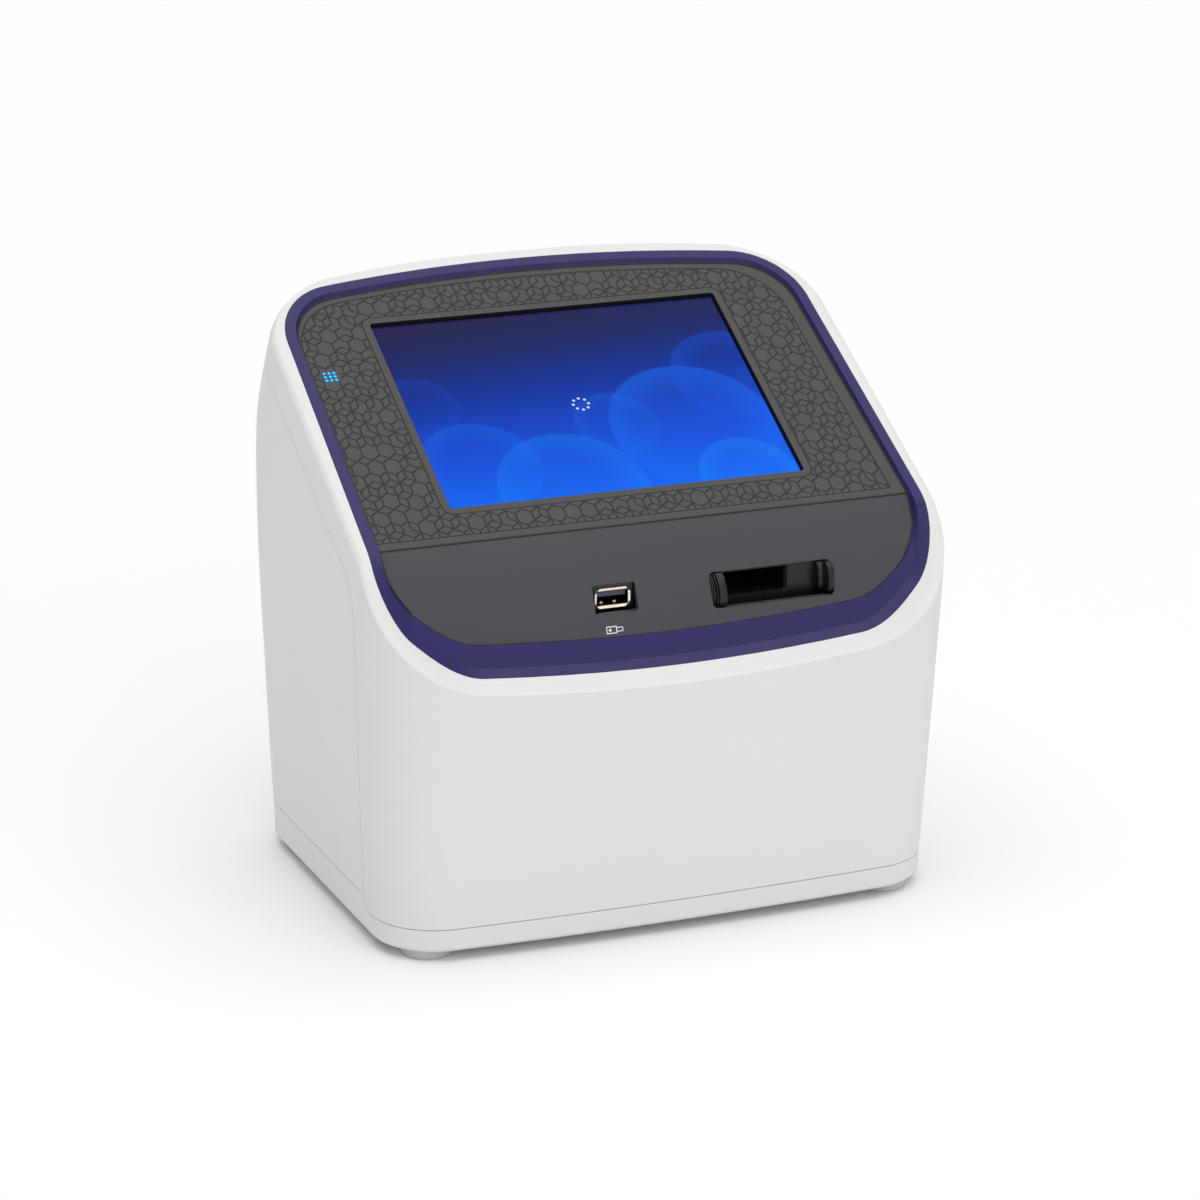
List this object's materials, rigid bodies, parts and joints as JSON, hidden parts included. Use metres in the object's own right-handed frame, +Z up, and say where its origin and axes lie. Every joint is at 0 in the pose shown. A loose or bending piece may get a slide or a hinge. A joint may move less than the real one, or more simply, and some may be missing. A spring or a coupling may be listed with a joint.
{
  "type": "automated cell counter",
  "caption": "Bench-top cell counter with a sloped touch display, a slide port and a USB socket in its lower panel, and a motorised focus stage inside.",
  "frame": {"origin": "centre of the bounding box's base, on the surface the feet stand on", "axes": "+Z up, +X to the right of a user in front, -Y towards the user"},
  "size_m": [0.2298, 0.1777, 0.2273],
  "materials": {
    "white_shell": "fine satin, warm white",
    "ring_purple": "satin blue-violet",
    "frame_grey": "dark grey with a low line relief",
    "panel_grey": "satin dark grey",
    "screen_glass": "lit glossy display",
    "lcd_metal": "brushed",
    "bracket_steel": "brushed",
    "screw_steel": "zinc plated",
    "pcb_green": "solder mask",
    "status_cyan": "lit lens",
    "black_plastic": "satin black",
    "socket_metal": "nickel plated",
    "socket_tongue": "cream insulator",
    "spring_copper": "copper alloy",
    "anodised": "anodised",
    "polished_rod": "ground",
    "motor_black": "satin",
    "lens_glass": "optical glass",
    "rubber_black": "matt",
    "jack_black": "satin"
  },
  "bodies": {
    "body": {"base_screws": "screw_steel", "base_tray": "white_shell", "board_screws": "screw_steel", "camera_board": "pcb_green", "camera_sensor": "black_plastic", "condenser_lens": "lens_glass", "deck_posts": "polished_rod", "display_board": "pcb_green", "display_bracket": "bracket_steel", "display_screws": "screw_steel", "feet": "rubber_black", "focus_motor": "motor_black", "front_housing": "white_shell", "front_usb_board": "pcb_green", "front_usb_shell": "socket_metal", "front_usb_tongue": "socket_tongue", "guide_rods": "polished_rod", "heatsink": "anodised", "housing_screws": "screw_steel", "io_plate": "panel_grey", "lamp_board": "pcb_green", "lamp_holder": "black_plastic", "lcd_module": "lcd_metal", "mainboard": "pcb_green", "optics_base": "anodised", "optics_deck": "anodised", "port_panel": "panel_grey", "power_jack": "jack_black", "power_jack_pin": "socket_metal", "rear_housing": "white_shell", "rear_usb_shells": "socket_metal", "rear_usb_tongues": "socket_tongue", "screen_frame": "frame_grey", "slide_guide": "black_plastic", "slide_insert": "black_plastic", "slide_spring": "spring_copper", "status_board": "pcb_green", "status_light": "status_cyan", "switch_body": "jack_black", "touch_glass": "screen_glass", "trim_ring": "ring_purple", "usb_insert": "black_plastic"},
    "rocker": {"power_rocker": "jack_black"},
    "screw": {"lead_screw": "polished_rod"},
    "carriage": {"focus_carriage": "anodised", "objective": "anodised"}
  },
  "joints": [
    {"name": "power_rocker_hinge", "type": "hinge", "parent": "body", "child": "rocker", "pos_m": [0.052, 0.0778, 0.04], "axis": [1, 0, 0], "range_deg": [0, 14]},
    {"name": "lead_screw_turn", "type": "hinge", "parent": "body", "child": "screw", "pos_m": [0.0645, -0.036, 0.06], "axis": [0, 0, 1], "range_deg": [-720, 720]},
    {"name": "focus_slide", "type": "slide", "parent": "body", "child": "carriage", "axis": [0, 0, 1], "range_m": [-0.004, 0.004]}
  ],
  "couplings": [
    {"joint": "lead_screw_turn", "follows": "focus_slide", "rad_per_m": 3141.6}
  ]
}
